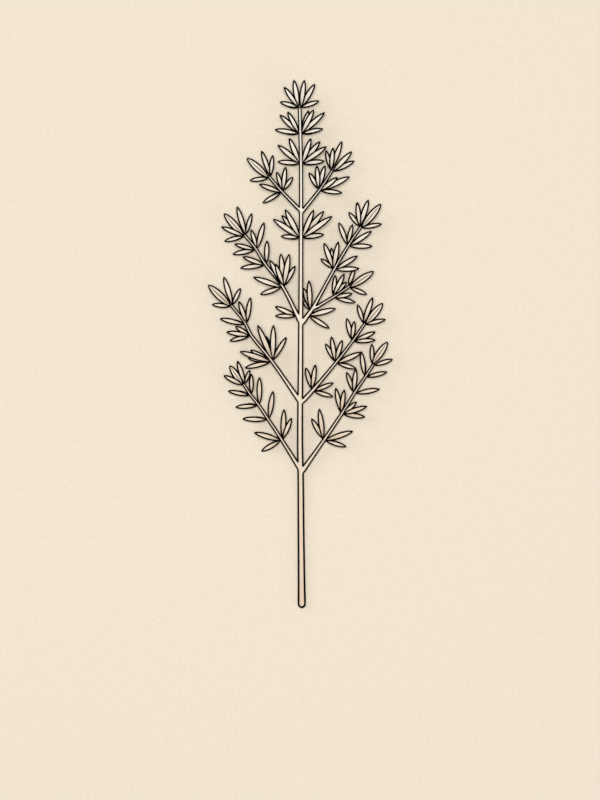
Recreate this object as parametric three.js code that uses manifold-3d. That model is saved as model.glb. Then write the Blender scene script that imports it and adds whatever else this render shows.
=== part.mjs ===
// A cut sprig of thyme, lying on a table as it was picked.
// One bare stem carries whorls of small narrow leaves at its top and four pairs of leafy side shoots.
// Units are millimetres. The sprig lies along Y with its tip at +Y, and Z is up from the table.

import * as THREE from 'three';
import { mergeVertices } from 'three/addons/utils/BufferGeometryUtils.js';
import Module from 'manifold-3d';

const wasm = await Module();
wasm.setup();

// Main stem: half its width low down and at the top, with a flare at the cut end, and the height of
// its middle above the table: it lies flat on its underside at the cut end, then its leaves lift it
const STEM_FOOT = 1.15;
const STEM_TOP = 0.56;
const CUT_END_FLARE = 0.12;
const CUT_FLARE_REACH = 8;
const FOOT_HEIGHT = 1.04;
const CROWN_HEIGHT = 5.2;
const RISE_START = 24;
const RISE_END = 105;

// Side shoots: half their width at the tip, what it gains for each millimetre towards the foot, and
// the flare where they leave the stem, for each millimetre of their length
const SHOOT_TOP = 0.53;
const SHOOT_TAPER = 0.0045;
const SHOOT_FLARE = 0.0045;
const FLARE_REACH = 6;
const SHOOT_TIP_HEIGHT = 3.4;
const SHOOT_ARCH = 1.2;

// The joint of a forked shoot that its fork leaves from, counted from 0 at the shoot's foot, and the
// gap kept between the shoots and the main stem
const FORK_JOINT = 2;
const CLEARANCE = 0.3;

// Stems are four-angled: the corner cut is a share of the half width
const CORNER_CUT = 0.45;
const RING_SPACING = 4.5;

// Leaves: a narrow blade, drawn in at its root, widest past the middle and blunt at its tip. A longer
// leaf is only a little wider. The two powers give the outline near the root and near the tip, where
// the rolled edge closes a little past the reach that the plan gives.
const LEAF_THICKNESS = 0.7;
const LEAF_WIDTH = 1.1;
const WIDTH_PER_LENGTH = 0.09;
const LEAF_SEGMENTS = 4;
const ROWS_TOWARDS_TIP = 1.5;
const LEAF_BOW = 0.05;
const ROOT_POWER = 0.65;
const TIP_POWER = 0.6;
const BLADE_END_SHARE = 0.3;
const LEAF_ROOT_OFFSET = 0.35;
const LEAF_ROOT_BACK = 0.4;
const ROLLED_TIP = 0.3;

// How the leaves of a whorl stand: those near the stem rise, those at its sides level out
const SIDE_SLOPE = -0.12;
const INNER_RISE = 0.42;
const STAGGER = 0.1;
const SLOPE_SCATTER = 0.05;
const UNDER_STEM_SLOPE = -0.6;
const UNDER_STEM_REACH = 1.6;

// Every third leaf has another one hanging under it
const HANGING_EVERY = 3;
const HANGING_REACH = 0.66;
const HANGING_DROP = 0.8;

const LEAF_COLOUR = 0xeadcc6;
const STEM_COLOUR = 0xf0ddc4;
const SURFACE_ROUGHNESS = 0.75;

// A linear congruential draw: seed, multiplier, step and range
const SEED = 20260;
const DRAW_MULTIPLIER = 1664525;
const DRAW_STEP = 1013904223;
const DRAW_RANGE = 2 ** 32;

// A whorl is the leaves at one joint of a stem: where it stands, then the compass heading in degrees
// and the reach of each leaf, seen from above, with 0 to the right and 90 towards the tip.
const whorl = (x, y, ...leaves) => ({ x, y, leaves });

const MAIN_STEM = {
  foot: [0.25, -0.5],
  route: [[0, 24], [-0.1, 38], [-0.3, 50], [-0.1, 80]],
  whorls: [
    whorl(
      0, 110.8,
      [176, 5.8], [147, 9.7], [131, 8.6], [120, 9.3], [49, 10.2], [65, 8.8], [8, 6.7], [34, 11],
    ),
    whorl(0, 133, [175, 6.8], [142, 8.6], [115, 8.1], [68, 7.7], [49, 8.5], [33, 8.9], [6, 6.8]),
    whorl(-0.2, 142, [171, 7.5], [121, 7.2], [138, 8.1], [60, 7.8], [70, 7], [40, 9.3], [12, 6.7]),
    whorl(-0.4, 149.8, [164, 5.9], [128, 7.4], [102, 8.1], [80, 7.9], [57, 8.1], [18, 5.9]),
  ],
};

const SHOOTS = {
  shoot_top_left: {
    foot: [0, 118.7],
    whorls: [
      whorl(-6, 124.9, [214, 6.4], [165, 6.5], [103, 5.5], [79, 6.9], [49, 5.2]),
      whorl(-9.7, 129.3, [193, 5.6], [141, 8.1], [106, 7.6], [79, 6.1]),
    ],
  },
  shoot_top_right: {
    foot: [0.1, 118.25],
    whorls: [
      whorl(5.8, 125.4, [125, 5.7], [99, 6.7], [79, 6.9], [33, 5.9], [22, 9.2], [-11, 6.4]),
      whorl(9.5, 131.2, [109, 5.9], [89, 6.3], [72, 8.7], [43, 7.6], [22, 6.8]),
    ],
  },
  shoot_upper_left: {
    foot: [-0.3, 85.6],
    whorls: [
      whorl(-1.25, 87.75, [160, 6.7], [184, 6.3]),
      whorl(-5.7, 96.4, [202, 6.8], [164, 8.7], [116, 8.3], [107, 6.5], [92, 9.3], [77, 9.4], [56, 6.9]),
      whorl(-10.9, 103.1, [191, 7.2], [164, 6.6], [84, 6.6]),
      whorl(-13.7, 107.7, [195, 6.8], [170, 6.1], [103, 5.4], [71, 7.8]),
      whorl(-17.1, 111.8, [199, 6], [162, 6.9], [134, 8.4], [104, 8.3], [70, 6.5]),
    ],
  },
  shoot_upper_right: {
    foot: [0.2, 85],
    whorls: [
      whorl(2.3, 87.9, [11, 8], [-35, 7.3]),
      whorl(3.3, 89.2, [111, 6.8], [96, 8.5], [135, 3.4]),
      whorl(10.2, 101.7, [147, 4.9], [114, 7.9], [100, 5.9], [83, 7.6], [28, 7.4], [-2, 7]),
      whorl(14.4, 108.8, [115, 7], [80, 5.8], [30, 7.6], [-5, 6.8]),
      whorl(18.1, 114.3, [132, 5.4], [100, 7], [75, 7.9], [48, 8.5], [6, 5.9]),
    ],
    fork: {
      foot: [3.9, 89.5],
      whorls: [
        whorl(10.2, 93.3, [89, 6], [67, 6.9], [50, 5.2], [7, 5], [-18, 6.2]),
        whorl(14.8, 96.4, [76, 4.9], [31, 7.9], [-28, 5.4]),
      ],
    },
  },
  shoot_middle_left: {
    foot: [-0.4, 61.8],
    whorls: [
      whorl(
        -9, 74.1,
        [56, 8], [86, 10.2], [102, 7.1], [111, 10.9], [154, 6.6], [165, 9.4], [176, 6.6], [197, 8],
      ),
      whorl(-15.25, 81.95, [199, 6.3], [176, 6.9], [153, 4.7]),
      whorl(-16.8, 85.3, [171, 7.4], [106, 6.4], [78, 7.5]),
      whorl(-21.1, 90.75, [180, 5.4], [139, 8.6], [104, 8.3], [59, 5.5]),
    ],
  },
  shoot_middle_right: {
    foot: [0.2, 61.4],
    whorls: [
      whorl(3.8, 65.3, [110, 6.7], [86, 7.2], [18, 6], [-21, 6]),
      whorl(10.8, 73.7, [123, 6.1], [103, 7.4], [76, 6.3], [20, 7.6], [-21, 5.9]),
      whorl(15.8, 80.2, [108, 6.5], [88, 5.3], [20, 6.7], [-1, 6.3]),
      whorl(19.3, 85.3, [113, 5.7], [74, 7.6], [48, 7.6], [9, 5.9]),
    ],
  },
  shoot_lower_left: {
    foot: [-0.4, 41.5],
    whorls: [
      whorl(-6, 50.5, [213, 6.8], [167, 8], [84, 8.6], [63, 6.7]),
      whorl(-10.1, 56.7, [182, 7.2], [78, 8]),
      whorl(-13, 61, [189, 6.5], [86, 7.7]),
      whorl(-15.4, 64, [173, 6.3], [85, 5.7]),
      whorl(-17.4, 67.1, [63, 4.2], [104, 6.7], [127, 6.4], [158, 6]),
    ],
  },
  shoot_lower_right: {
    foot: [0.2, 40.5],
    whorls: [
      whorl(7.2, 50.5, [124, 7], [101, 8.9], [15, 8.4], [-21, 6.6]),
      whorl(12.5, 58.4, [106, 7.4], [86, 6.6], [37, 5], [14, 7.3], [-12, 6.6]),
      whorl(16.3, 64.6, [114, 6.2], [89, 6.6], [6, 7.1]),
      whorl(19.6, 69.5, [102, 7.1], [9, 6.1]),
      whorl(21.9, 73, [96, 5.7], [58, 7.4], [13, 5.5]),
    ],
  },
};

// A seeded draw between 0 and 1, so that every build gives the same sprig
let draws = SEED;
function draw() {
  draws = (draws * DRAW_MULTIPLIER + DRAW_STEP) % DRAW_RANGE;
  return draws / DRAW_RANGE;
}

const easeInOut = (share) => share * share * (3 - 2 * share);

function stemHeight(y) {
  const share = THREE.MathUtils.clamp((y - RISE_START) / (RISE_END - RISE_START), 0, 1);
  return FOOT_HEIGHT + (CROWN_HEIGHT - FOOT_HEIGHT) * easeInOut(share);
}

// A closed mesh with its shared corners merged, as a solid that can be joined and cut
function solidOf(geometry) {
  geometry.deleteAttribute('normal');
  geometry.deleteAttribute('uv');
  const merged = mergeVertices(geometry);
  return new wasm.Manifold(new wasm.Mesh({
    numProp: 3,
    vertProperties: Float32Array.from(merged.attributes.position.array),
    triVerts: Uint32Array.from(merged.index.array),
  }));
}

function geometryOf(solid) {
  const mesh = solid.getMesh();
  const geometry = new THREE.BufferGeometry();
  geometry.setAttribute('position', new THREE.BufferAttribute(mesh.vertProperties, 3));
  geometry.setIndex(new THREE.BufferAttribute(mesh.triVerts, 1));
  return geometry;
}

// The four-angled section of a stem, one unit to each side of its middle
function stemSection() {
  const flat = 1 - CORNER_CUT;
  const upper = [[1, flat], [flat, 1], [-flat, 1], [-1, flat]];
  const lower = upper.map(([x, y]) => [-x, -y]);
  const corners = [...upper, ...lower];
  return new THREE.Shape(corners.map(([x, y]) => new THREE.Vector2(x, y)));
}

// A stem along its joints; halfWidth gives half its width at a distance from its foot
function stem(points, halfWidth) {
  const path = new THREE.CatmullRomCurve3(points);
  const length = path.getLength();
  const steps = Math.ceil(length / RING_SPACING);
  const rings = path.getSpacedPoints(steps);
  const options = { steps, bevelEnabled: false, extrudePath: path };
  const geometry = new THREE.ExtrudeGeometry(stemSection(), options);
  const spots = geometry.attributes.position;
  const spot = new THREE.Vector3();
  for (let i = 0; i < spots.count; i += 1) {
    spot.fromBufferAttribute(spots, i);
    const distances = rings.map((ring) => ring.distanceTo(spot));
    const nearest = distances.indexOf(Math.min(...distances));
    spot.sub(rings[nearest]).multiplyScalar(halfWidth(length * nearest / steps, length)).add(rings[nearest]);
    spots.setXYZ(i, spot.x, spot.y, Math.max(spot.z, 0));
  }
  return solidOf(geometry);
}

function mainHalfWidth(along, length) {
  const flare = CUT_END_FLARE * Math.exp(-along / CUT_FLARE_REACH);
  return THREE.MathUtils.lerp(STEM_FOOT, STEM_TOP, along / length) + flare;
}

function shootHalfWidth(along, length) {
  const flare = SHOOT_FLARE * length * Math.exp(-((along / FLARE_REACH) ** 2));
  return SHOOT_TOP + SHOOT_TAPER * (length - along) + flare;
}

// Share of the full width that a leaf has at a share of its length
function leafOutline(along) {
  const shape = (share) => share ** ROOT_POWER * (1 - share) ** TIP_POWER;
  const widestAt = ROOT_POWER / (ROOT_POWER + TIP_POWER);
  return Math.max(BLADE_END_SHARE, shape(along) / shape(widestAt));
}

// One leaf blade from its root in the stem to its tip, bowed upwards along its length
function leaf(root, tip) {
  const length = root.distanceTo(tip);
  const width = LEAF_WIDTH + WIDTH_PER_LENGTH * length;
  const blade = new THREE.BoxGeometry(width, LEAF_THICKNESS, length, 1, 1, LEAF_SEGMENTS);
  const spots = blade.attributes.position;
  for (let i = 0; i < spots.count; i += 1) {
    const row = THREE.MathUtils.clamp(spots.getZ(i) / length + 0.5, 0, 1);
    const along = 1 - (1 - row) ** ROWS_TOWARDS_TIP;
    const bow = length * LEAF_BOW * Math.sin(Math.PI * along);
    spots.setXYZ(i, spots.getX(i) * leafOutline(along), spots.getY(i) + bow, (along - 0.5) * length);
  }
  const forward = tip.clone().sub(root).normalize();
  const side = new THREE.Vector3(0, 0, 1).cross(forward).normalize();
  const face = forward.clone().cross(side);
  const place = new THREE.Matrix4().makeBasis(side, face, forward);
  place.setPosition(root.clone().add(tip).multiplyScalar(0.5));
  blade.applyMatrix4(place);
  return solidOf(blade);
}

// The leaves of one whorl on a stem that heads in the given direction, in degrees. Each is rooted a
// little to its own side of the stem, and on a side shoot a little below the joint.
// A leaf of a side shoot that reaches the main stem passes under it.
function whorlLeaves(joint, whorlPlan, stemHeading) {
  const leaves = [];
  const onShoot = Math.abs(joint.x) > STEM_FOOT;
  const ahead = THREE.MathUtils.degToRad(stemHeading);
  const rootBack = onShoot ? LEAF_ROOT_BACK : 0;
  whorlPlan.leaves.forEach(([heading, bladeReach], i) => {
    const reach = bladeReach + ROLLED_TIP;
    const turn = THREE.MathUtils.degToRad(heading);
    const fromStem = THREE.MathUtils.degToRad(heading - stemHeading);
    const lift = SIDE_SLOPE + INNER_RISE * Math.max(0, Math.cos(fromStem));
    const scattered = lift + (i % 2 ? STAGGER : -STAGGER) + SLOPE_SCATTER * (2 * draw() - 1);
    const meetsMainStem = onShoot && Math.abs(joint.x + reach * Math.cos(turn)) < UNDER_STEM_REACH;
    const slope = meetsMainStem ? UNDER_STEM_SLOPE : scattered;
    const sideways = THREE.MathUtils.degToRad(stemHeading + 90 * Math.sign(heading - stemHeading));
    const root = joint.clone();
    root.x += LEAF_ROOT_OFFSET * Math.cos(sideways) - rootBack * Math.cos(ahead);
    root.y += LEAF_ROOT_OFFSET * Math.sin(sideways) - rootBack * Math.sin(ahead);
    const tipAt = (share, rise) => new THREE.Vector3(
      joint.x + reach * share * Math.cos(turn),
      joint.y + reach * share * Math.sin(turn),
      Math.max(joint.z + reach * rise, LEAF_THICKNESS / 2),
    );
    leaves.push(leaf(root, tipAt(1, slope)));
    if (i % HANGING_EVERY === 0) {
      leaves.push(leaf(root, tipAt(HANGING_REACH, -HANGING_DROP)));
    }
  });
  return leaves;
}

// Direction of the stem at a joint, in degrees, from the joint before it
function headingInto(joints, i) {
  const before = joints[Math.max(i - 1, 0)];
  const here = joints[Math.max(i, 1)];
  return THREE.MathUtils.radToDeg(Math.atan2(here.y - before.y, here.x - before.x));
}

function leafyStem(joints, whorls, stemSolid) {
  const first = joints.length - whorls.length;
  const leaves = whorls.flatMap((w, i) => whorlLeaves(joints[first + i], w, headingInto(joints, first + i)));
  return leaves.reduce((whole, blade) => whole.add(blade), stemSolid);
}

// Joints of a side shoot: it leaves its parent stem, arches, and comes down to rest at its tip
function shootJoints({ foot, whorls }, footHeight) {
  const plan = [foot, ...whorls.map((w) => [w.x, w.y])];
  const [endX, endY] = plan.at(-1);
  const span = Math.hypot(endX - foot[0], endY - foot[1]);
  return plan.map(([x, y]) => {
    const along = Math.hypot(x - foot[0], y - foot[1]) / span;
    const arch = SHOOT_ARCH * Math.sin(Math.PI * along);
    return new THREE.Vector3(x, y, THREE.MathUtils.lerp(footHeight, SHOOT_TIP_HEIGHT, along) + arch);
  });
}

function mainStemJoints() {
  const plan = [MAIN_STEM.foot, ...MAIN_STEM.route, ...MAIN_STEM.whorls.map((w) => [w.x, w.y])];
  return plan.map(([x, y]) => new THREE.Vector3(x, y, stemHeight(y)));
}

const mainJoints = mainStemJoints();
const mainStemSolid = stem(mainJoints, mainHalfWidth);
const mainEnvelope = stem(mainJoints, (along, length) => mainHalfWidth(along, length) + CLEARANCE);

// One side shoot with its leaves and its fork, cut back clear of the main stem
function buildShoot(shoot) {
  const joints = shootJoints(shoot, stemHeight(shoot.foot[1]));
  let wood = stem(joints, shootHalfWidth);
  if (shoot.fork) {
    const forkJoints = shootJoints(shoot.fork, joints[FORK_JOINT].z);
    wood = leafyStem(forkJoints, shoot.fork.whorls, wood.add(stem(forkJoints, shootHalfWidth)));
  }
  return leafyStem(joints, shoot.whorls, wood).subtract(mainEnvelope);
}

function named(name, solid, colour) {
  const finish = { color: colour, roughness: SURFACE_ROUGHNESS, metalness: 0 };
  const material = new THREE.MeshStandardMaterial(finish);
  const mesh = new THREE.Mesh(geometryOf(solid), material);
  mesh.name = name;
  return mesh;
}

const sprig = new THREE.Group();
sprig.add(named('main_stem', leafyStem(mainJoints, MAIN_STEM.whorls, mainStemSolid), STEM_COLOUR));
for (const [name, shoot] of Object.entries(SHOOTS)) {
  sprig.add(named(name, buildShoot(shoot), LEAF_COLOUR));
}

// The origin is the middle of the underside of the sprig's box
const box = new THREE.Box3().setFromObject(sprig);
const middle = box.getCenter(new THREE.Vector3());
sprig.position.set(-middle.x, -middle.y, -box.min.z);

export default sprig;
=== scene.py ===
import math
import random

import bpy
from mathutils import Matrix, Vector
from mathutils.geometry import interpolate_bezier


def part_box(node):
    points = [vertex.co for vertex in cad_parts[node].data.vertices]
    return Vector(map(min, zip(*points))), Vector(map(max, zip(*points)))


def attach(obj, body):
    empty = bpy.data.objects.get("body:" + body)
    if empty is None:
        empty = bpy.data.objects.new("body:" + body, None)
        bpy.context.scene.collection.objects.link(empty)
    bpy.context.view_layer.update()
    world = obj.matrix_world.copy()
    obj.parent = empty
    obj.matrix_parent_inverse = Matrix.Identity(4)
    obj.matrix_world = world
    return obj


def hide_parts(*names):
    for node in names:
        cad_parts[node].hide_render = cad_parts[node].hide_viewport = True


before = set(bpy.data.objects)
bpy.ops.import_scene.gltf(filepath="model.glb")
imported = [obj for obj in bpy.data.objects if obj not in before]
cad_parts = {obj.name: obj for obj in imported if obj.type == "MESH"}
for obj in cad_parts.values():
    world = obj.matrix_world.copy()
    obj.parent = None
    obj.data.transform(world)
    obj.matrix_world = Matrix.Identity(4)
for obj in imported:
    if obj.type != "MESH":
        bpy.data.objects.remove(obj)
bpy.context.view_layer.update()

MM = 0.001

# The sprig's own ruler. It is laid out in millimetres, with Y along the main stem, and the middle of
# the cut end stands at FOOT_X and FOOT_Y. The frame's main stem shows where that is.
FOOT_X, FOOT_Y = 0.25, -0.5
CUT_FACE_DEPTH = 0.1
CUT_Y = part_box("main_stem")[0].y
stem_corners = [vertex.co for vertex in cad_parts["main_stem"].data.vertices]
cut_places = [corner.x for corner in stem_corners if corner.y < CUT_Y + CUT_FACE_DEPTH * MM]
ORIGIN_X = (min(cut_places) + max(cut_places)) / 2 - FOOT_X * MM
ORIGIN_Y = CUT_Y - FOOT_Y * MM


def spot(x, y, z):
    return Vector((ORIGIN_X + x * MM, ORIGIN_Y + y * MM, z * MM))


# The camera looks straight down on the lying sprig, with its tip at the top of the picture.
# The picture is 240 mm high at the height of the leaves, and a long lens keeps it free of perspective.
PICTURE_HEIGHT = 240
LENS = 200
SENSOR = 36
LEAF_LEVEL = 4.5
PICTURE_X, PICTURE_Y = -0.3, 62.1
camera_data = bpy.data.cameras.new("overhead_camera")
camera_data.lens = LENS
camera_data.sensor_width = SENSOR
camera_data.clip_start = 0.01
camera = bpy.data.objects.new("overhead_camera", camera_data)
bpy.context.scene.collection.objects.link(camera)
camera.location = spot(PICTURE_X, PICTURE_Y, LEAF_LEVEL + PICTURE_HEIGHT * LENS / SENSOR)
bpy.context.scene.camera = camera
bpy.context.scene.view_settings.view_transform = "Standard"


# The surface under the sprig is plain pale paper in a warm cream, with no edge in sight.
# Three soft studio lamps light it: a strong one overhead, a lower one on the left and a weak one right.
def paint(red, green, blue):
    """A colour read from the picture, 0 to 255, as the shader's linear values."""
    shares = [c / 255 for c in (red, green, blue)]
    return [c / 12.92 if c < 0.04045 else ((c + 0.055) / 1.055) ** 2.4 for c in shares] + [1]


WHITE = (1, 1, 1, 1)
SHEEN = 0.25
MOTTLE_DETAIL = 3
MOTTLE_DARK, MOTTLE_LIGHT = 0.3, 0.7


def new_material(name, roughness, sheen=SHEEN):
    """A material: gives it, its nodes and links, and the node of its surface."""
    material = bpy.data.materials.new(name)
    material.use_nodes = True
    surface = material.node_tree.nodes["Principled BSDF"]
    surface.inputs["Roughness"].default_value = roughness
    surface.inputs["Specular IOR Level"].default_value = sheen
    return material, material.node_tree.nodes, material.node_tree.links, surface


def ramp(nodes, links, value, *stops):
    """A colour ramp through stops, each a position and a colour: gives the colour."""
    node = nodes.new("ShaderNodeValToRGB")
    elements = node.color_ramp.elements
    while len(elements) < len(stops):
        elements.new(0.5)
    for element, (position, colour) in zip(elements, stops):
        element.position = position
        element.color = colour
    links.new(value, node.inputs["Fac"])
    return node.outputs["Color"]


def mottle(nodes, links, scale, dark, light, place=None):
    """Noise between two colours: gives the colour and the noise."""
    noise = nodes.new("ShaderNodeTexNoise")
    noise.inputs["Scale"].default_value = scale
    noise.inputs["Detail"].default_value = MOTTLE_DETAIL
    if place is None:
        place = nodes.new("ShaderNodeTexCoord").outputs["Object"]
    links.new(place, noise.inputs["Vector"])
    shade = ramp(nodes, links, noise.outputs["Fac"], (MOTTLE_DARK, dark), (MOTTLE_LIGHT, light))
    return shade, noise.outputs["Fac"]


def darken(nodes, links, share, colour, shade):
    """A colour multiplied by a shade, to a share; each is a plain value or a socket."""
    node = nodes.new("ShaderNodeMix")
    node.data_type = "RGBA"
    node.blend_type = "MULTIPLY"
    sockets = (node.inputs["Factor"], node.inputs["A"], node.inputs["B"])
    for socket, given in zip(sockets, (share, colour, shade)):
        if isinstance(given, bpy.types.NodeSocket):
            links.new(given, socket)
        else:
            socket.default_value = given
    return node.outputs["Result"]


def bump(nodes, links, surface, height, strength, distance):
    """Fine relief on a surface, its depth in millimetres."""
    relief = nodes.new("ShaderNodeBump")
    relief.inputs["Strength"].default_value = strength
    relief.inputs["Distance"].default_value = distance * MM
    links.new(height, relief.inputs["Height"])
    links.new(relief.outputs["Normal"], surface.inputs["Normal"])


TABLE_SIZE = 3.0
TABLE_DROP = 0.02
table_material, nodes, links, surface = new_material("pale_paper", roughness=0.9)
shade, grain = mottle(nodes, links, scale=900, dark=paint(239, 226, 204), light=paint(243, 231, 211))
links.new(shade, surface.inputs["Base Color"])
bump(nodes, links, surface, grain, strength=0.08, distance=0.1)
bpy.ops.object.select_all(action="DESELECT")
bpy.ops.mesh.primitive_plane_add(size=TABLE_SIZE, location=(0, 0, -TABLE_DROP * MM))
table = bpy.context.object
table.name = "table_surface"
table.data.materials.append(table_material)

for name, place, size, power in (
    ("overhead_lamp", (-0.03, 0.03, 1.7), 0.4, 19.7),
    ("left_lamp", (-0.9, 0.5, 0.9), 0.8, 2.6),
    ("right_lamp", (0.9, -0.5, 0.8), 0.8, 1.4),
):
    lamp_data = bpy.data.lights.new(name, "AREA")
    lamp_data.size = size
    lamp_data.energy = power
    lamp = bpy.data.objects.new(name, lamp_data)
    bpy.context.scene.collection.objects.link(lamp)
    lamp.location = place
    lamp.rotation_euler = (-Vector(place)).to_track_quat("-Z", "Y").to_euler()
world = bpy.data.worlds.new("studio")
world.use_nodes = True
world.node_tree.nodes["Background"].inputs["Color"].default_value = WHITE
world.node_tree.nodes["Background"].inputs["Strength"].default_value = 0.215
bpy.context.scene.world = world


# How the sprig grew: the plan of the main stem and of its side shoots, seen from above. A whorl is
# the leaves at one joint: where it stands, then the heading in degrees and the reach of each leaf.
def whorl(x, y, *leaves):
    return {"x": x, "y": y, "leaves": leaves}


MAIN_STEM = {
    "foot": (FOOT_X, FOOT_Y),
    "route": [(0, 24), (-0.1, 38), (-0.3, 50), (-0.1, 80)],
    "whorls": [
        whorl(
            0, 110.8,
            (176, 5.8), (147, 9.7), (131, 8.6), (120, 9.3), (49, 10.2), (65, 8.8), (8, 6.7), (34, 11),
        ),
        whorl(0, 133, (175, 6.8), (142, 8.6), (115, 8.1), (68, 7.7), (49, 8.5), (33, 8.9), (6, 6.8)),
        whorl(-0.2, 142, (171, 7.5), (121, 7.2), (138, 8.1), (60, 7.8), (70, 7), (40, 9.3), (12, 6.7)),
        whorl(-0.4, 149.8, (164, 5.9), (128, 7.4), (102, 8.1), (80, 7.9), (57, 8.1), (18, 5.9)),
    ],
}

SHOOTS = {
    "shoot_top_left": {
        "foot": (0, 118.7),
        "whorls": [
            whorl(-6, 124.9, (214, 6.4), (165, 6.5), (103, 5.5), (79, 6.9), (49, 5.2)),
            whorl(-9.7, 129.3, (193, 5.6), (141, 8.1), (106, 7.6), (79, 6.1)),
        ],
    },
    "shoot_top_right": {
        "foot": (0.1, 118.25),
        "whorls": [
            whorl(5.8, 125.4, (125, 5.7), (99, 6.7), (79, 6.9), (33, 5.9), (22, 9.2), (-11, 6.4)),
            whorl(9.5, 131.2, (109, 5.9), (89, 6.3), (72, 8.7), (43, 7.6), (22, 6.8)),
        ],
    },
    "shoot_upper_left": {
        "foot": (-0.3, 85.6),
        "whorls": [
            whorl(-1.25, 87.75, (160, 6.7), (184, 6.3)),
            whorl(
                -5.7, 96.4,
                (202, 6.8), (164, 8.7), (116, 8.3), (107, 6.5), (92, 9.3), (77, 9.4), (56, 6.9),
            ),
            whorl(-10.9, 103.1, (191, 7.2), (164, 6.6), (84, 6.6)),
            whorl(-13.7, 107.7, (195, 6.8), (170, 6.1), (103, 5.4), (71, 7.8)),
            whorl(-17.1, 111.8, (199, 6), (162, 6.9), (134, 8.4), (104, 8.3), (70, 6.5)),
        ],
    },
    "shoot_upper_right": {
        "foot": (0.2, 85),
        "whorls": [
            whorl(2.3, 87.9, (11, 8), (-35, 7.3)),
            whorl(3.3, 89.2, (111, 6.8), (96, 8.5), (135, 3.4)),
            whorl(10.2, 101.7, (147, 4.9), (114, 7.9), (100, 5.9), (83, 7.6), (28, 7.4), (-2, 7)),
            whorl(14.4, 108.8, (115, 7), (80, 5.8), (30, 7.6), (-5, 6.8)),
            whorl(18.1, 114.3, (132, 5.4), (100, 7), (75, 7.9), (48, 8.5), (6, 5.9)),
        ],
        "fork": {
            "foot": (3.9, 89.5),
            "whorls": [
                whorl(10.2, 93.3, (89, 6), (67, 6.9), (50, 5.2), (7, 5), (-18, 6.2)),
                whorl(14.8, 96.4, (76, 4.9), (31, 7.9), (-28, 5.4)),
            ],
        },
    },
    "shoot_middle_left": {
        "foot": (-0.4, 61.8),
        "whorls": [
            whorl(
                -9, 74.1,
                (56, 8), (86, 10.2), (102, 7.1), (111, 10.9), (154, 6.6), (165, 9.4), (176, 6.6), (197, 8),
            ),
            whorl(-15.25, 81.95, (199, 6.3), (176, 6.9), (153, 4.7)),
            whorl(-16.8, 85.3, (171, 7.4), (106, 6.4), (78, 7.5)),
            whorl(-21.1, 90.75, (180, 5.4), (139, 8.6), (104, 8.3), (59, 5.5)),
        ],
    },
    "shoot_middle_right": {
        "foot": (0.2, 61.4),
        "whorls": [
            whorl(3.8, 65.3, (110, 6.7), (86, 7.2), (18, 6), (-21, 6)),
            whorl(10.8, 73.7, (123, 6.1), (103, 7.4), (76, 6.3), (20, 7.6), (-21, 5.9)),
            whorl(15.8, 80.2, (108, 6.5), (88, 5.3), (20, 6.7), (-1, 6.3)),
            whorl(19.3, 85.3, (113, 5.7), (74, 7.6), (48, 7.6), (9, 5.9)),
        ],
    },
    "shoot_lower_left": {
        "foot": (-0.4, 41.5),
        "whorls": [
            whorl(-6, 50.5, (213, 6.8), (167, 8), (84, 8.6), (63, 6.7)),
            whorl(-10.1, 56.7, (182, 7.2), (78, 8)),
            whorl(-13, 61, (189, 6.5), (86, 7.7)),
            whorl(-15.4, 64, (173, 6.3), (85, 5.7)),
            whorl(-17.4, 67.1, (63, 4.2), (104, 6.7), (127, 6.4), (158, 6)),
        ],
    },
    "shoot_lower_right": {
        "foot": (0.2, 40.5),
        "whorls": [
            whorl(7.2, 50.5, (124, 7), (101, 8.9), (15, 8.4), (-21, 6.6)),
            whorl(12.5, 58.4, (106, 7.4), (86, 6.6), (37, 5), (14, 7.3), (-12, 6.6)),
            whorl(16.3, 64.6, (114, 6.2), (89, 6.6), (6, 7.1)),
            whorl(19.6, 69.5, (102, 7.1), (9, 6.1)),
            whorl(21.9, 73, (96, 5.7), (58, 7.4), (13, 5.5)),
        ],
    },
}

# Every stem is woody and four-angled: pale, dry bark between four dark rounded ridges, one at each
# corner. The main stem is 2.5 mm across where it was cut and 1.1 mm at its top, the side shoots 1.7 mm
# to 1.1 mm. The main stem lies flat at its cut end, and its leaves lift it further up.
STEM_FOOT, STEM_TOP = 1.15, 0.56
CUT_END_FLARE, CUT_FLARE_REACH = 0.12, 8
FOOT_HEIGHT, CROWN_HEIGHT = 1.04, 5.2
RISE_START, RISE_END = 24, 105
SHOOT_TOP, SHOOT_TAPER = 0.53, 0.0045
SHOOT_FLARE, FLARE_REACH = 0.0045, 6
SHOOT_TIP_HEIGHT = 3.4
SHOOT_ARCH = 1.2
MAIN_RIDGE = (0.31, 0.19)
SHOOT_RIDGE = (0.25, 0.225)
RIDGE_LIFT = 0.01
TIP_TAPER, TIP_LEFT = 0.6, 0.3
STATION = 1.5
LEAVING_STEP = 0.1


def between(low, high, share):
    return low + (high - low) * share


def stem_height(y):
    share = min(max((y - RISE_START) / (RISE_END - RISE_START), 0), 1)
    return between(FOOT_HEIGHT, CROWN_HEIGHT, share * share * (3 - 2 * share))


def main_half_width(along, length):
    return between(STEM_FOOT, STEM_TOP, along / length) + CUT_END_FLARE * math.exp(-along / CUT_FLARE_REACH)


def shoot_half_width(along, length):
    flare = SHOOT_FLARE * length * math.exp(-(along / FLARE_REACH) ** 2)
    return SHOOT_TOP + SHOOT_TAPER * (length - along) + flare


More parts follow.
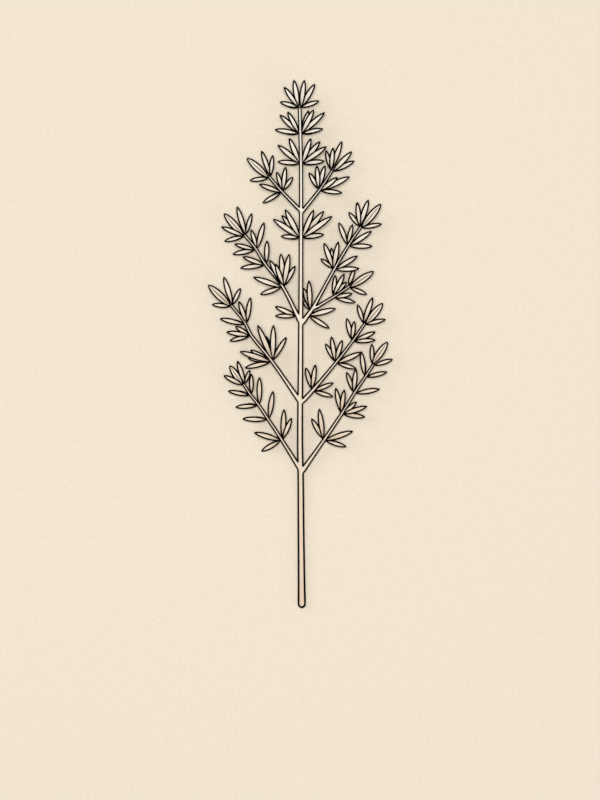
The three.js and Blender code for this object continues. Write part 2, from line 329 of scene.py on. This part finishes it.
class Stem:
    """The course of one stem through its joints, and the ridges at its four corners."""

    def __init__(self, joints, half_width, ridges):
        self.joints = joints
        self.ridges = ridges
        self.route = self.smooth_route(joints)
        self.distances = [0]
        for start, end in zip(self.route, self.route[1:]):
            self.distances.append(self.distances[-1] + (end - start).length / MM)
        self.length = self.distances[-1]
        self.full_half_width = half_width
        self.gaps = {-1: [], 1: []}

    def smooth_route(self, joints):
        """The joints joined by a smooth curve, with a point about every STATION millimetres."""
        ways = []
        for i in range(len(joints)):
            ways.append((joints[min(i + 1, len(joints) - 1)] - joints[max(i - 1, 0)]).normalized())
        route = [joints[0]]
        for i in range(len(joints) - 1):
            start, end = joints[i], joints[i + 1]
            third = (end - start).length / 3
            count = max(2, round(third * 3 / MM / STATION)) + 1
            out_of_start, into_end = start + ways[i] * third, end - ways[i + 1] * third
            route += interpolate_bezier(start, out_of_start, into_end, end, count)[1:]
        return route

    def find(self, along):
        """The stretch of the route that a distance from the foot falls in, and the share of it."""
        along = min(max(along, 0), self.length)
        i = max(j for j, d in enumerate(self.distances[:-1]) if d <= along)
        return i, (along - self.distances[i]) / (self.distances[i + 1] - self.distances[i])

    def middle(self, along):
        """The point on the stem's own line at a distance from the foot."""
        i, share = self.find(along)
        return self.route[i].lerp(self.route[i + 1], share)

    def right(self, along):
        """The stem's own right-hand side in plan."""
        ahead = self.middle(along + STATION / 2) - self.middle(along - STATION / 2)
        return Vector((ahead.y, -ahead.x, 0)).normalized()

    def half_width(self, along):
        """Half the stem's width, drawn in at its very tip."""
        to_tip = max(self.length - along, 0)
        return self.full_half_width(along, self.length) * min(1, to_tip / TIP_TAPER + TIP_LEFT) ** 0.5

    def stations(self, low, high):
        """Distances from low to high, a station apart, with closer ones where the tip narrows."""
        taper = [self.length - TIP_TAPER, self.length - TIP_TAPER / 2]
        end = taper[0] if high == self.length else high
        steps = max(2, math.ceil((end - low) / STATION))
        ways = [between(low, end, i / steps) for i in range(steps + 1)]
        return ways + [taper[1], high] if high == self.length else ways

    def ridge(self, along):
        """The radius of a ridge, which is thicker at the foot."""
        return between(*self.ridges, along / self.length)

    def ridge_spot(self, along, across, up):
        """The middle of a ridge: across is 1 for the right side and -1 for the left, up is 1 or -1."""
        inset = max(self.half_width(along) - self.ridge(along), 0)
        place = self.middle(along) + self.right(along) * (across * inset * MM)
        place.z = max(place.z + up * inset * MM, (self.ridge(along) + RIDGE_LIFT) * MM)
        return place

    def beside(self, point):
        """Where a point lies beside the stem, in plan: distance along, and to the right."""
        nearest = (math.inf, 0, 0)
        for i, (start, end) in enumerate(zip(self.route, self.route[1:])):
            ahead = (end - start).xy
            offset = (point - start).xy
            share = min(max(offset.dot(ahead) / ahead.length_squared, 0), 1)
            apart = offset - ahead * share
            if apart.length < nearest[0]:
                out = math.copysign(apart.length / MM, -ahead.cross(apart))
                nearest = (apart.length, between(self.distances[i], self.distances[i + 1], share), out)
        return nearest[1:]

    def leave(self, parent, side, across):
        """Where one edge of this stem comes out of its parent: distances along this and the parent."""
        along = 0
        while True:
            at_parent, out = parent.beside(self.ridge_spot(along, across, 1))
            if out * side > parent.half_width(at_parent) - parent.ridge(at_parent):
                return along, at_parent
            along += LEAVING_STEP


def whorl_places(plan):
    return [(one["x"], one["y"]) for one in plan["whorls"]]


def shoot_joints(plan, foot_height):
    """The foot and joints of a shoot: it leaves its parent, arches and comes down to its tip."""
    foot = plan["foot"]
    places = [foot] + whorl_places(plan)
    span = math.dist(foot, places[-1])
    joints = []
    for x, y in places:
        along = math.dist(foot, (x, y)) / span
        arch = SHOOT_ARCH * math.sin(math.pi * along)
        joints.append(spot(x, y, between(foot_height, SHOOT_TIP_HEIGHT, along) + arch))
    return joints


main_places = [MAIN_STEM["foot"]] + MAIN_STEM["route"] + whorl_places(MAIN_STEM)
main = Stem([spot(x, y, stem_height(y)) for x, y in main_places], main_half_width, MAIN_RIDGE)
shoots = {}
for name, plan in SHOOTS.items():
    joints = shoot_joints(plan, stem_height(plan["foot"][1]))
    shoots[name] = Stem(joints, shoot_half_width, SHOOT_RIDGE)
FORKED, FORK_JOINT = "shoot_upper_right", 2
fork_plan = SHOOTS[FORKED]["fork"]
fork_height = shoots[FORKED].joints[FORK_JOINT].z / MM
fork = Stem(shoot_joints(fork_plan, fork_height), shoot_half_width, SHOOT_RIDGE)


def branch_off(stem, parent):
    """Notes the gap that a branch makes in its parent's ridges: gives where the branch's own start."""
    side = 1 if parent.beside(stem.joints[-1])[1] > 0 else -1
    lower, parent_lower = stem.leave(parent, side, side)
    upper, parent_upper = stem.leave(parent, side, -side)
    parent.gaps[side].append((parent_lower, parent_upper))
    starts = {}
    for across, along, at_parent in ((side, lower, parent_lower), (-side, upper, parent_upper)):
        for up in (-1, 1):
            starts[across, up] = (along, parent.ridge_spot(at_parent, side, up))
    return starts


ridge_starts = {name: branch_off(stem, main) for name, stem in shoots.items()}
fork_starts = branch_off(fork, shoots[FORKED])


# The bark is a thin dry skin over the wood, a little hollow between the stem's four corners. It and the
# ridges run along the courses above, and the cut end shows the pith inside.
BARK_INSET = 0.6
BARK_HOLLOW = 0.86
SMOOTH_BELOW = 50


def sweep(name, points, radii, section=None):
    """A mesh swept along points, with a radius in millimetres at each, from a section or round."""
    bpy.ops.object.select_all(action="DESELECT")
    bpy.ops.curve.primitive_bezier_curve_add()
    curve = bpy.context.object
    curve.name = name
    path = curve.data.splines[0].bezier_points
    path.add(len(points) - len(path))
    for knot, point, radius in zip(path, points, radii):
        knot.co = point
        knot.radius = radius
        knot.handle_left_type = knot.handle_right_type = "AUTO"
    curve.data.twist_mode = "Z_UP"
    curve.data.resolution_u = 2
    curve.data.use_fill_caps = True
    if section is None:
        curve.data.bevel_depth = MM
        curve.data.bevel_resolution = 2
    else:
        curve.data.bevel_mode = "OBJECT"
        curve.data.bevel_object = section
    bpy.ops.object.convert(target="MESH")
    return bpy.context.object


def four_angled_section():
    """Four sides, each a little hollow between its corners, one millimetre to each side."""
    upper = [(1, 1), (0, BARK_HOLLOW), (-1, 1), (-BARK_HOLLOW, 0)]
    corners = upper + [(-x, -y) for x, y in upper]
    bpy.ops.object.select_all(action="DESELECT")
    bpy.ops.curve.primitive_nurbs_circle_add()
    section = bpy.context.object
    section.name = "four_angled_section"
    section.data.splines.clear()
    outline = section.data.splines.new("POLY")
    outline.points.add(len(corners) - 1)
    for corner, (x, y) in zip(outline.points, corners):
        corner.co = (x * MM, y * MM, 0, 1)
    outline.use_cyclic_u = True
    return section


def bark_material():
    """Pale bark: warm low down and lighter towards the tip, with fine streaks along it."""
    material, nodes, links, surface = new_material("pale_bark", roughness=0.7)
    place = nodes.new("ShaderNodeTexCoord").outputs["Object"]
    apart = nodes.new("ShaderNodeSeparateXYZ")
    links.new(place, apart.inputs["Vector"])
    height = nodes.new("ShaderNodeMapRange")
    height.inputs["From Min"].default_value = ORIGIN_Y
    height.inputs["From Max"].default_value = ORIGIN_Y + main.length * MM
    links.new(apart.outputs["Y"], height.inputs["Value"])
    age = ramp(
        nodes, links, height.outputs["Result"],
        (0, paint(235, 209, 184)), (0.5, paint(246, 231, 211)), (1, paint(253, 248, 234)),
    )
    stretch = nodes.new("ShaderNodeMapping")
    stretch.inputs["Scale"].default_value = (1, 0.1, 1)
    links.new(place, stretch.inputs["Vector"])
    streaks, grain = mottle(
        nodes, links, scale=2600, dark=paint(206, 180, 150), light=WHITE, place=stretch.outputs["Vector"]
    )
    links.new(darken(nodes, links, share=0.15, colour=age, shade=streaks), surface.inputs["Base Color"])
    bump(nodes, links, surface, grain, strength=0.35, distance=0.1)
    return material


def ridge_material():
    """Near-black brown of the stem's ridges and of the leaves' rolled edges, a little uneven."""
    material, nodes, links, surface = new_material("dark_edge", roughness=0.9, sheen=0.02)
    shade, grain = mottle(nodes, links, scale=1500, dark=paint(3, 2, 0), light=paint(11, 7, 3))
    links.new(shade, surface.inputs["Base Color"])
    bump(nodes, links, surface, grain, strength=0.3, distance=0.08)
    return material


def pith_material():
    """Cut face: pale, a little rough pith."""
    material, nodes, links, surface = new_material("cut_pith", roughness=0.85)
    shade, grain = mottle(nodes, links, scale=3000, dark=paint(222, 194, 156), light=paint(246, 230, 204))
    links.new(shade, surface.inputs["Base Color"])
    bump(nodes, links, surface, grain, strength=0.5, distance=0.1)
    return material


pale_bark = bark_material()
dark_edge = ridge_material()
cut_pith = pith_material()
four_angled = four_angled_section()


def wear(piece, material):
    """Gives a piece one material: gives the piece."""
    piece.data.materials.clear()
    piece.data.materials.append(material)
    return piece


def join(pieces, name):
    bpy.ops.object.select_all(action="DESELECT")
    for piece in pieces:
        piece.select_set(True)
    bpy.context.view_layer.objects.active = pieces[0]
    bpy.ops.object.join()
    joined = bpy.context.object
    joined.name = joined.data.name = name
    return joined


def turn_faces_out(piece):
    bpy.ops.object.select_all(action="DESELECT")
    piece.select_set(True)
    bpy.context.view_layer.objects.active = piece
    bpy.ops.object.mode_set(mode="EDIT")
    bpy.ops.mesh.select_all(action="SELECT")
    bpy.ops.mesh.normals_make_consistent(inside=False)
    bpy.ops.object.mode_set(mode="OBJECT")


def finish_wood(pieces, name, node):
    """Joins a stem's pieces, smooths them between their sharp edges and hangs them on the frame."""
    wood = join(pieces, name)
    bpy.ops.object.transform_apply(location=True, rotation=True, scale=True)
    turn_faces_out(wood)
    bpy.ops.object.shade_smooth_by_angle(angle=math.radians(SMOOTH_BELOW))
    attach(wood, "root")
    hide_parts(node)


def bark_of(stem, name, start=0):
    """The pale four-angled body of a stem, from a distance along it to its tip."""
    ways = stem.stations(start, stem.length)
    radii = [stem.half_width(along) - BARK_INSET * stem.ridge(along) for along in ways]
    return wear(sweep(name, [stem.middle(along) for along in ways], radii, four_angled), pale_bark)


def ridge_of(stem, name, across, up, low, high, lead=()):
    """One dark ridge along a corner of a stem, from low to high, after any leading points and radii."""
    ways = stem.stations(low, high)
    points = [point for point, radius in lead] + [stem.ridge_spot(along, across, up) for along in ways]
    radii = [radius for point, radius in lead] + [stem.ridge(along) for along in ways]
    return wear(sweep(name, points, radii), dark_edge)


# The side shoots grow out of the main stem's sides. Their edges run on from the main stem's ridges,
# and where one shoot forks, the fork's edges run on from the shoot's ridges in the same way.
def spans(stem, side, start):
    """The stretches of a stem's ridges on one side, between the branches there."""
    for low, high in sorted(stem.gaps[side]):
        yield start, low
        start = high
    yield start, stem.length


def branch_wood(stem, name, starts):
    """The bark and ridges of a branch, whose ridges lead out of those of its parent."""
    pieces = [bark_of(stem, name)]
    for (across, up), (along, anchor) in starts.items():
        for i, (low, high) in enumerate(spans(stem, across, along)):
            if i == 0:
                lead = [(anchor, stem.ridge(low))]
                pieces.append(ridge_of(stem, name, across, up, low + STATION / 2, high, lead))
            else:
                pieces.append(ridge_of(stem, name, across, up, low, high))
    return pieces


for name, stem in shoots.items():
    pieces = branch_wood(stem, name + "_bark", ridge_starts[name])
    if name == FORKED:
        pieces += branch_wood(fork, name + "_fork_bark", fork_starts)
    finish_wood(pieces, name + "_wood", name)


# The main stem ends in a pruned foot, rounded at its corners: the ridges of both sides run round it
# and meet, above and below, with the pale pith between them.
END_ROUND = 1.1
NOSE_STEPS = 8
NOSE_LEAST = 0.02
BARK_LIFT = 0.02
UPRIGHT_BELOW = 0.5
CUT_RIDGE = MAIN_RIDGE[0]
stem_pieces = [bark_of(main, "main_bark", CUT_RIDGE)]
for up in (-1, 1):
    nose = []
    for i in range(1, NOSE_STEPS):
        turn = math.pi * (i / NOSE_STEPS - 0.5)
        along = CUT_RIDGE + RIDGE_LIFT + END_ROUND * (1 - math.cos(turn))
        corner = main.ridge_spot(along, 1, up)
        middle = main.middle(along)
        place = Vector((middle.x + (corner.x - middle.x) * math.sin(turn), middle.y, corner.z))
        nose.append((place, CUT_RIDGE))
    left_first, *left_rest = spans(main, -1, CUT_RIDGE + END_ROUND)
    right_first, *right_rest = spans(main, 1, CUT_RIDGE + END_ROUND)
    left_side = [(main.ridge_spot(along, -1, up), main.ridge(along)) for along in main.stations(*left_first)]
    lead = left_side[::-1] + nose
    stem_pieces.append(ridge_of(main, "main_ridge", 1, up, *right_first, lead))
    for across, rest in ((-1, left_rest), (1, right_rest)):
        for low, high in rest:
            stem_pieces.append(ridge_of(main, "main_ridge", across, up, low, high))
bark = stem_pieces[0]
bark.data.materials.append(cut_pith)
nose_middle = main.middle(0).x
for vertex in bark.data.vertices:
    from_end = (vertex.co.y - CUT_Y) / MM - CUT_RIDGE
    if from_end < END_ROUND:
        narrowing = math.sqrt(max(NOSE_LEAST, 1 - (1 - max(from_end, 0) / END_ROUND) ** 2))
        vertex.co.x = nose_middle + (vertex.co.x - nose_middle) * narrowing
    vertex.co.z = max(vertex.co.z, BARK_LIFT * MM)
for face in bark.data.polygons:
    if face.center.y < CUT_Y + (CUT_RIDGE + END_ROUND) * MM and abs(face.normal.z) < UPRIGHT_BELOW:
        face.material_index = 1
finish_wood(stem_pieces, "main_stem_wood", "main_stem")


# The leaves are small, narrow and leathery, 4 to 11 mm long and 1.8 mm wide, drawn in at the root and
# blunt at the tip. Their edges roll under into a dark bead, and a fine groove marks the midrib. They
# grow in whorls at the joints, with others hanging under them, and each shoot ends in a broader one.
EDGE_RADIUS = 0.235
LEAF_WIDTH, WIDTH_PER_LENGTH = 1.1, 0.09
BROAD = 1.3
LEAF_BOW = 0.05
LEAF_ROWS = 18
LEAF_COLUMNS = 12
ROWS_TOWARDS_TIP = 1.5
ROOT_POWER, TIP_POWER = 0.65, 0.6
ROLLED_TIP = 0.3
NARROWEST = 0.07
MASTER_LENGTHS = (4.5, 6, 7.5, 9, 10.5)
BLADE_RISE = 0.08
BLADE_RISE_AT = 0.5
GROOVE = 0.06
VALLEY_LEAST = 0.02
ROOT_CLOSING, TIP_CLOSING = 0.4, 0.3
ROLLED_BAND = 2
MERGE_DISTANCE = 0.001
LOWEST_LEAVES = 40
# Across the blade from its edge: distance inwards and height, both in radii of the rolled edge.
EDGE_PROFILE = [(0, 0), (0.3, 0.7), (1, 1), (1.7, 0.72), (2.1, 0.35)]


def leaf_half_width(along, length, broad):
    """Half a leaf's width at a share of its length, in millimetres."""
    def shape(share):
        return share ** ROOT_POWER * (1 - share) ** TIP_POWER

    widest = shape(ROOT_POWER / (ROOT_POWER + TIP_POWER))
    half = (LEAF_WIDTH + WIDTH_PER_LENGTH * length) * broad / 2
    return max(NARROWEST, half * shape(min(max(along, 0), 1)) / widest)


def leaf_spot(column, along, length, broad):
    """Where a point of the blade's upper face goes: column counts from the midrib to either side."""
    half_width = leaf_half_width(along, length, broad)
    inner, inner_height = EDGE_PROFILE[-1]
    squeeze = min(1, half_width / (inner * EDGE_RADIUS + VALLEY_LEAST))
    radius = EDGE_RADIUS * squeeze
    step = LEAF_COLUMNS // 2 - abs(column)
    valley = half_width - inner * radius
    if step < len(EDGE_PROFILE):
        inwards, height = EDGE_PROFILE[step]
        across = half_width - inwards * radius
        rise = height * radius
    elif step == len(EDGE_PROFILE):
        across = valley * BLADE_RISE_AT
        rise = inner_height * radius + BLADE_RISE * squeeze
    else:
        across = 0
        rise = inner_height * radius + (BLADE_RISE - GROOVE) * squeeze
    closing = min(1, along * length / ROOT_CLOSING, (1 - along) * length / TIP_CLOSING) ** 0.5
    return math.copysign(across, column), along * length, rise * closing


def leaf_master(length, broad):
    """One leaf along Y from its root, face up, in two slots: the blade and its dark rolled edge."""
    bpy.ops.object.select_all(action="DESELECT")
    bpy.ops.mesh.primitive_grid_add(x_subdivisions=LEAF_COLUMNS, y_subdivisions=LEAF_ROWS, size=1)
    master = bpy.context.object
    master.name = "leaf_master"
    for vertex in master.data.vertices:
        column = round(vertex.co.x * LEAF_COLUMNS)
        row = min(max(vertex.co.y + 0.5, 0), 1)
        side, forward, rise = leaf_spot(column, 1 - (1 - row) ** ROWS_TOWARDS_TIP, length, broad)
        vertex.co = (side * MM, forward * MM, rise * MM)
    underside = master.modifiers.new("underside", "MIRROR")
    underside.use_axis = (False, False, True)
    underside.merge_threshold = MERGE_DISTANCE * MM
    bpy.ops.object.modifier_apply(modifier=underside.name)
    master.data.materials.append(leaf_blade)
    master.data.materials.append(dark_edge)
    for face in master.data.polygons:
        face.use_smooth = True
        side, forward = abs(face.center.x) / MM, face.center.y / MM
        rolled = side > leaf_half_width(forward / length, length, broad) - ROLLED_BAND * EDGE_RADIUS
        face.material_index = 1 if rolled else 0
    for vertex in master.data.vertices:
        vertex.co.z += LEAF_BOW * length * MM * math.sin(math.pi * vertex.co.y / (length * MM))
    turn_faces_out(master)
    return master


def blade_material():
    """Ivory leaf face: warmer low on the sprig, dotted with glands, darker along its midrib, with painted
    shade over a browner petiole at its root, and painted shade on leaves that hang under a whorl.
    """
    material, nodes, links, surface = new_material("leaf_blade", roughness=0.65)
    place = nodes.new("ShaderNodeTexCoord").outputs["Object"]
    apart = nodes.new("ShaderNodeSeparateXYZ")
    links.new(place, apart.inputs["Vector"])
    height = nodes.new("ShaderNodeMapRange")
    height.inputs["From Min"].default_value = ORIGIN_Y + LOWEST_LEAVES * MM
    height.inputs["From Max"].default_value = ORIGIN_Y + main.length * MM
    links.new(apart.outputs["Y"], height.inputs["Value"])
    age = ramp(
        nodes, links, height.outputs["Result"],
        (0, paint(242, 221, 196)), (0.5, paint(251, 240, 222)), (1, paint(254, 248, 236)),
    )
    mottling, grain = mottle(nodes, links, scale=900, dark=paint(232, 216, 194), light=WHITE, place=place)
    colour = darken(nodes, links, share=0.25, colour=age, shade=mottling)
    glands = nodes.new("ShaderNodeTexVoronoi")
    glands.inputs["Scale"].default_value = 3400
    links.new(place, glands.inputs["Vector"])
    dots = ramp(nodes, links, glands.outputs["Distance"], (0.12, paint(186, 152, 112)), (0.24, WHITE))
    colour = darken(nodes, links, share=0.25, colour=colour, shade=dots)
    # Each leaf's own tone, and painted shade on the leaves that hang under a whorl.
    tone_and_shade = nodes.new("ShaderNodeAttribute")
    tone_and_shade.attribute_name = "leaf_tone_and_shade"
    colour = darken(nodes, links, tone_and_shade.outputs["Fac"], colour, paint(222, 196, 164))
    over_leaf = nodes.new("ShaderNodeSeparateXYZ")
    links.new(nodes.new("ShaderNodeUVMap").outputs["UV"], over_leaf.inputs["Vector"])
    # Painted shade at the leaf's root, where it meets the joint, over a browner petiole.
    root = ramp(nodes, links, over_leaf.outputs["Y"], (0.1, paint(150, 116, 82)), (0.36, WHITE))
    colour = darken(nodes, links, share=0.3, colour=colour, shade=root)
    rib = paint(64, 44, 28)
    midrib = ramp(
        nodes, links, over_leaf.outputs["X"],
        (0.45, WHITE), (0.48, rib), (0.52, rib), (0.55, WHITE),
    )
    strength = nodes.new("ShaderNodeAttribute")
    strength.attribute_name = "midrib"
    colour = darken(nodes, links, strength.outputs["Fac"], colour, midrib)
    links.new(colour, surface.inputs["Base Color"])
    bump(nodes, links, surface, grain, strength=0.25, distance=0.06)
    return material


leaf_blade = blade_material()
masters = {(length, broad): leaf_master(length, broad) for length in MASTER_LENGTHS for broad in (1, BROAD)}

# How the leaves of a whorl stand: those that point along the stem rise, those at its sides droop a
# little, and every third leaf has one hanging under it, darkened with painted shade.
SIDE_SLOPE = -0.12
INNER_RISE = 0.42
STAGGER = 0.1
SLOPE_SCATTER = 0.05
UNDER_STEM_SLOPE = -0.6
UNDER_STEM_REACH = 1.6
LEAF_ROOT_OFFSET, LEAF_ROOT_BACK = 0.35, 0.4
LEAF_THICKNESS = 0.7
HANGING_EVERY = 3
HANGING_REACH = 0.66
HANGING_DROP = 0.8
END_LEAF_SPREAD = 12
# The hanging leaves are darkened with painted shade, as they lie under the whorl; the others differ in tone
# at random.
TONE_SCATTER, HANGING_SHADE = 0.2, 0.8
MIDRIB, BROAD_MIDRIB = 0.12, 0.9
SEED = 20260
DRAW_MULTIPLIER, DRAW_STEP, DRAW_RANGE = 1664525, 1013904223, 2 ** 32
draws = SEED
tones = random.Random(SEED)


def draw():
    """The same seeded draw as the solids were made with, so that each leaf lies as its solid does."""
    global draws
    draws = (draws * DRAW_MULTIPLIER + DRAW_STEP) % DRAW_RANGE
    return draws / DRAW_RANGE


def leaf_between(root, tip, broad, tone_and_shade):
    """A copy of the master nearest in length, laid from root to tip with its own tone, any painted shade,
    and its midrib.
    """
    forward = tip - root
    length = forward.length / MM
    nearest = min(MASTER_LENGTHS, key=lambda master_length: abs(master_length - length))
    leaf = bpy.data.objects.new("leaf", masters[nearest, BROAD if broad else 1].data.copy())
    bpy.context.scene.collection.objects.link(leaf)
    forward.normalize()
    side = forward.cross(Vector((0, 0, 1))).normalized()
    turn = Matrix((side, forward, side.cross(forward))).transposed().to_4x4()
    leaf.data.transform(Matrix.Translation(root) @ turn @ Matrix.Diagonal((1, length / nearest, 1, 1)))
    for name, value in (("leaf_tone_and_shade", tone_and_shade), ("midrib", BROAD_MIDRIB if broad else MIDRIB)):
        values = leaf.data.attributes.new(name, "FLOAT", "POINT").data
        values.foreach_set("value", [value] * len(values))
    return leaf


def level(turn):
    """A level direction from its angle in radians."""
    return Vector((math.cos(turn), math.sin(turn), 0))


def leaf_tip(joint, turn, reach, rise):
    """Where a leaf ends: at its reach from the joint and its rise over it, but not below the table."""
    tip = joint + level(turn) * (reach * MM)
    tip.z = max(joint.z + rise * MM, LEAF_THICKNESS / 2 * MM)
    return tip


def whorl_leaves(joint, plan, stem_heading, ends_shoot):
    """The leaves of one whorl. A leaf of a shoot that reaches the main stem passes under it."""
    leaves = []
    on_shoot = abs(plan["x"]) > STEM_FOOT
    below = level(math.radians(stem_heading)) * (-LEAF_ROOT_BACK * MM if on_shoot else 0)
    for i, (heading, blade_reach) in enumerate(plan["leaves"]):
        reach = blade_reach + ROLLED_TIP
        turn = math.radians(heading)
        lift = SIDE_SLOPE + INNER_RISE * max(0, math.cos(math.radians(heading - stem_heading)))
        slope = lift + (STAGGER if i % 2 else -STAGGER) + SLOPE_SCATTER * (2 * draw() - 1)
        if on_shoot and abs(plan["x"] + reach * math.cos(turn)) < UNDER_STEM_REACH:
            slope = UNDER_STEM_SLOPE
        sideways = math.radians(stem_heading + math.copysign(90, heading - stem_heading))
        root = joint + level(sideways) * (LEAF_ROOT_OFFSET * MM) + below
        broad = ends_shoot and abs(heading - stem_heading) < END_LEAF_SPREAD
        tip = leaf_tip(joint, turn, reach, reach * slope)
        leaves.append(leaf_between(root, tip, broad, tones.random() * TONE_SCATTER))
        if i % HANGING_EVERY == 0:
            # The leaf that hangs under it, darkened with painted shade.
            tip = leaf_tip(joint, turn, reach * HANGING_REACH, -reach * HANGING_DROP)
            leaves.append(leaf_between(root, tip, broad, HANGING_SHADE))
    return leaves


def leaves_of(joints, plan, is_shoot):
    """All the leaves of a stem, whorl by whorl."""
    first = len(joints) - len(plan["whorls"])
    leaves = []
    for i, one in enumerate(plan["whorls"]):
        here = first + i
        way = joints[here] - joints[here - 1]
        heading = math.degrees(math.atan2(way.y, way.x))
        ends_shoot = is_shoot and i == len(plan["whorls"]) - 1
        leaves += whorl_leaves(joints[here], one, heading, ends_shoot)
    return leaves


def finish_leaves(leaves, node):
    foliage = join(leaves, node + "_leaves")
    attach(foliage, "root")
    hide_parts(node)


finish_leaves(leaves_of(main.joints, MAIN_STEM, False), "main_stem")
for name, plan in SHOOTS.items():
    leaves = leaves_of(fork.joints, fork_plan, True) if name == FORKED else []
    finish_leaves(leaves + leaves_of(shoots[name].joints, plan, True), name)
for pattern in list(masters.values()) + [four_angled]:
    bpy.data.objects.remove(pattern)
